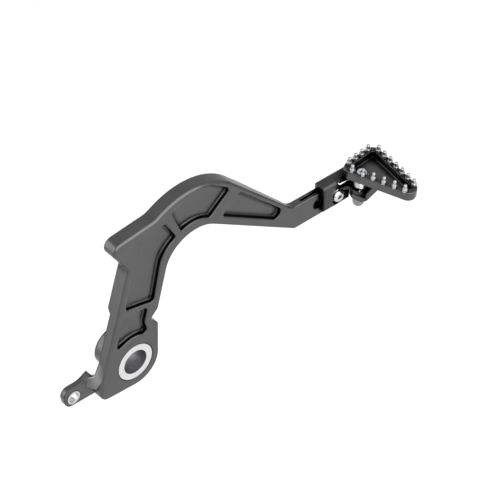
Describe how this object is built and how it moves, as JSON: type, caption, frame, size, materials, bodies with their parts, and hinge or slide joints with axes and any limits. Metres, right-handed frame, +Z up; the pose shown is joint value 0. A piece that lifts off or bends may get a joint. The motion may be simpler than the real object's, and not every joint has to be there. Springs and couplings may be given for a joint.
{
  "type": "motorcycle rear brake pedal",
  "caption": "Right-hand rear brake pedal: an arched forged arm with a pivot bush, a push rod eye and a spring-folding studded toe pad on an adjustable bracket.",
  "frame": {"origin": "centre of the pivot bore, in the plane of the arm's outboard face", "axes": "+X forward to the toe pad, +Y inboard towards the motorcycle, +Z up"},
  "size_m": [0.2749, 0.0739, 0.1554],
  "materials": {
    "coated_aluminium": "forged, satin dark grey hard coat",
    "bright_steel": "bright, finely turned",
    "seal_rubber": "matt",
    "black_nylon": "matt"
  },
  "bodies": {
    "pedal": {"pedal_arm": "coated_aluminium", "pivot_bush": "bright_steel", "pivot_seal": "seal_rubber", "rod_eye_bush": "bright_steel", "toe_bracket": "coated_aluminium", "bracket_screw": "bright_steel", "bracket_washer": "bright_steel", "bracket_nut": "bright_steel", "hinge_spring": "bright_steel"},
    "toe": {"toe_pad": "coated_aluminium", "pad_studs": "bright_steel", "hinge_bolt": "bright_steel", "bolt_washer": "bright_steel", "hinge_nut": "bright_steel", "hinge_sleeve": "bright_steel", "hinge_washer": "black_nylon"}
  },
  "joints": [
    {"name": "toe_fold", "type": "hinge", "parent": "pedal", "child": "toe", "pos_m": [0.1978, -0.009, 0.0579], "axis": [0, -0.1219, 0.9925], "range_deg": [-85, 0], "stiffness_Nm_per_rad": 0.15, "springref_deg": 17.19}
  ]
}
